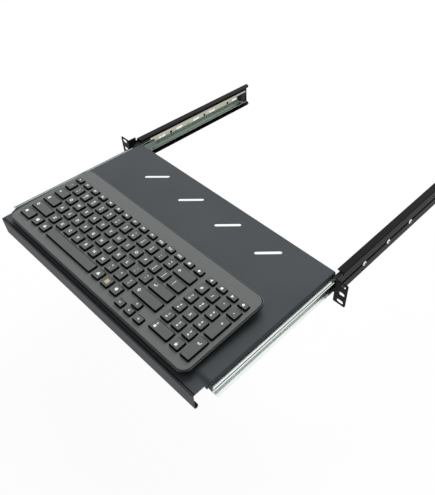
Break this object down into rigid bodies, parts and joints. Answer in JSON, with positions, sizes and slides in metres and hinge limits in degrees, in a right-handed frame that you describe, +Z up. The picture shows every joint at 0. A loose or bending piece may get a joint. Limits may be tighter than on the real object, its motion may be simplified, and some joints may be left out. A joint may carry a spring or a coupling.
{
  "type": "rack keyboard tray",
  "caption": "Sliding keyboard tray for a 19-inch rack: slotted steel shelf on ball-bearing slides in eared side brackets, carrying a low-profile keyboard.",
  "frame": {"origin": "centre of the rack-hole pattern, on the ears' rear faces that meet the rack posts", "axes": "+X to the right seen from the front, +Y from the front to the back of the rack, +Z up"},
  "size_m": [0.4826, 0.516, 0.0519],
  "materials": {
    "bracket_black": "semi-matt black powder coat",
    "rail_zinc": "yellowish zinc plate, satin",
    "bumper_black": "matt black rubber",
    "cage_steel": "plain strip steel",
    "ball_steel": "polished bearing steel",
    "screw_zinc": "bright zinc plate",
    "tray_grey": "semi-matt dark blue-grey powder coat",
    "deck_grey": "fine-grained mid grey",
    "base_black": "fine-grained black",
    "key_grey": "fine-grained dark grey with white legends",
    "membrane_clear": "clear film",
    "dome_rubber": "translucent silicone",
    "board_green": "green solder mask",
    "battery_metal": "plain lacquered sleeve",
    "foot_rubber": "matt rubber"
  },
  "bodies": {
    "rack_brackets": {"left_bracket": "bracket_black", "right_bracket": "bracket_black", "left_outer_rail": "rail_zinc", "right_outer_rail": "rail_zinc", "left_rail_bumper": "bumper_black", "right_rail_bumper": "bumper_black", "rail_screws": "screw_zinc"},
    "left_cage": {"left_ball_cage": "cage_steel", "left_balls": "ball_steel"},
    "right_cage": {"right_ball_cage": "cage_steel", "right_balls": "ball_steel"},
    "tray": {"tray_shelf": "tray_grey", "left_inner_rail": "rail_zinc", "right_inner_rail": "rail_zinc", "tray_screws": "screw_zinc"},
    "keyboard": {"keyboard_top_shell": "deck_grey", "keyboard_bottom_shell": "base_black", "contact_membrane": "membrane_clear", "dome_sheet": "dome_rubber", "circuit_board": "board_green", "battery_door": "base_black", "batteries": "battery_metal", "keyboard_feet": "foot_rubber"},
    "function_keys": {"function_keys": "key_grey"},
    "media_keys": {"media_keys": "key_grey"},
    "number_keys": {"number_keys": "key_grey"},
    "backspace_key": {"backspace_key": "key_grey"},
    "tab_key": {"tab_key": "key_grey"},
    "upper_letter_keys": {"upper_letter_keys": "key_grey"},
    "backslash_key": {"backslash_key": "key_grey"},
    "capitals_key": {"capitals_key": "key_grey"},
    "home_letter_keys": {"home_letter_keys": "key_grey"},
    "enter_key": {"enter_key": "key_grey"},
    "left_shift_key": {"left_shift_key": "key_grey"},
    "lower_letter_keys": {"lower_letter_keys": "key_grey"},
    "right_shift_key": {"right_shift_key": "key_grey"},
    "left_control_key": {"left_control_key": "key_grey"},
    "modifier_keys": {"modifier_keys": "key_grey"},
    "space_bar": {"space_bar": "key_grey"},
    "arrow_keys": {"arrow_keys": "key_grey"},
    "number_pad_keys": {"number_pad_keys": "key_grey"},
    "pad_zero_key": {"pad_zero_key": "key_grey"},
    "pad_plus_key": {"pad_plus_key": "key_grey"},
    "pad_enter_key": {"pad_enter_key": "key_grey"}
  },
  "joints": [
    {"name": "tray_slide", "type": "slide", "parent": "rack_brackets", "child": "tray", "axis": [0, 1, 0], "range_m": [0, 0.212]},
    {"name": "left_cage_slide", "type": "slide", "parent": "rack_brackets", "child": "left_cage", "axis": [0, 1, 0], "range_m": [0, 0.106]},
    {"name": "right_cage_slide", "type": "slide", "parent": "rack_brackets", "child": "right_cage", "axis": [0, 1, 0], "range_m": [0, 0.106]},
    {"name": "keyboard_lift", "type": "slide", "parent": "tray", "child": "keyboard", "axis": [0, 0, 1], "range_m": [0, 0.06]},
    {"name": "function_keys_press", "type": "slide", "parent": "keyboard", "child": "function_keys", "axis": [0, 0.0548, -0.9985], "range_m": [0, 0.0015], "stiffness_N_per_m": 400, "springref_m": -0.0012},
    {"name": "media_keys_press", "type": "slide", "parent": "keyboard", "child": "media_keys", "axis": [0, 0.0548, -0.9985], "range_m": [0, 0.0015], "stiffness_N_per_m": 400, "springref_m": -0.0012},
    {"name": "number_keys_press", "type": "slide", "parent": "keyboard", "child": "number_keys", "axis": [0, 0.0548, -0.9985], "range_m": [0, 0.0015], "stiffness_N_per_m": 400, "springref_m": -0.0012},
    {"name": "backspace_key_press", "type": "slide", "parent": "keyboard", "child": "backspace_key", "axis": [0, 0.0548, -0.9985], "range_m": [0, 0.0015], "stiffness_N_per_m": 400, "springref_m": -0.0012},
    {"name": "tab_key_press", "type": "slide", "parent": "keyboard", "child": "tab_key", "axis": [0, 0.0548, -0.9985], "range_m": [0, 0.0015], "stiffness_N_per_m": 400, "springref_m": -0.0012},
    {"name": "upper_letter_keys_press", "type": "slide", "parent": "keyboard", "child": "upper_letter_keys", "axis": [0, 0.0548, -0.9985], "range_m": [0, 0.0015], "stiffness_N_per_m": 400, "springref_m": -0.0012},
    {"name": "backslash_key_press", "type": "slide", "parent": "keyboard", "child": "backslash_key", "axis": [0, 0.0548, -0.9985], "range_m": [0, 0.0015], "stiffness_N_per_m": 400, "springref_m": -0.0012},
    {"name": "capitals_key_press", "type": "slide", "parent": "keyboard", "child": "capitals_key", "axis": [0, 0.0548, -0.9985], "range_m": [0, 0.0015], "stiffness_N_per_m": 400, "springref_m": -0.0012},
    {"name": "home_letter_keys_press", "type": "slide", "parent": "keyboard", "child": "home_letter_keys", "axis": [0, 0.0548, -0.9985], "range_m": [0, 0.0015], "stiffness_N_per_m": 400, "springref_m": -0.0012},
    {"name": "enter_key_press", "type": "slide", "parent": "keyboard", "child": "enter_key", "axis": [0, 0.0548, -0.9985], "range_m": [0, 0.0015], "stiffness_N_per_m": 400, "springref_m": -0.0012},
    {"name": "left_shift_key_press", "type": "slide", "parent": "keyboard", "child": "left_shift_key", "axis": [0, 0.0548, -0.9985], "range_m": [0, 0.0015], "stiffness_N_per_m": 400, "springref_m": -0.0012},
    {"name": "lower_letter_keys_press", "type": "slide", "parent": "keyboard", "child": "lower_letter_keys", "axis": [0, 0.0548, -0.9985], "range_m": [0, 0.0015], "stiffness_N_per_m": 400, "springref_m": -0.0012},
    {"name": "right_shift_key_press", "type": "slide", "parent": "keyboard", "child": "right_shift_key", "axis": [0, 0.0548, -0.9985], "range_m": [0, 0.0015], "stiffness_N_per_m": 400, "springref_m": -0.0012},
    {"name": "left_control_key_press", "type": "slide", "parent": "keyboard", "child": "left_control_key", "axis": [0, 0.0548, -0.9985], "range_m": [0, 0.0015], "stiffness_N_per_m": 400, "springref_m": -0.0012},
    {"name": "modifier_keys_press", "type": "slide", "parent": "keyboard", "child": "modifier_keys", "axis": [0, 0.0548, -0.9985], "range_m": [0, 0.0015], "stiffness_N_per_m": 400, "springref_m": -0.0012},
    {"name": "space_bar_press", "type": "slide", "parent": "keyboard", "child": "space_bar", "axis": [0, 0.0548, -0.9985], "range_m": [0, 0.0015], "stiffness_N_per_m": 400, "springref_m": -0.0012},
    {"name": "arrow_keys_press", "type": "slide", "parent": "keyboard", "child": "arrow_keys", "axis": [0, 0.0548, -0.9985], "range_m": [0, 0.0015], "stiffness_N_per_m": 400, "springref_m": -0.0012},
    {"name": "number_pad_keys_press", "type": "slide", "parent": "keyboard", "child": "number_pad_keys", "axis": [0, 0.0548, -0.9985], "range_m": [0, 0.0015], "stiffness_N_per_m": 400, "springref_m": -0.0012},
    {"name": "pad_zero_key_press", "type": "slide", "parent": "keyboard", "child": "pad_zero_key", "axis": [0, 0.0548, -0.9985], "range_m": [0, 0.0015], "stiffness_N_per_m": 400, "springref_m": -0.0012},
    {"name": "pad_plus_key_press", "type": "slide", "parent": "keyboard", "child": "pad_plus_key", "axis": [0, 0.0548, -0.9985], "range_m": [0, 0.0015], "stiffness_N_per_m": 400, "springref_m": -0.0012},
    {"name": "pad_enter_key_press", "type": "slide", "parent": "keyboard", "child": "pad_enter_key", "axis": [0, 0.0548, -0.9985], "range_m": [0, 0.0015], "stiffness_N_per_m": 400, "springref_m": -0.0012}
  ],
  "couplings": [
    {"joint": "left_cage_slide", "follows": "tray_slide", "ratio": 0.5},
    {"joint": "right_cage_slide", "follows": "tray_slide", "ratio": 0.5}
  ]
}
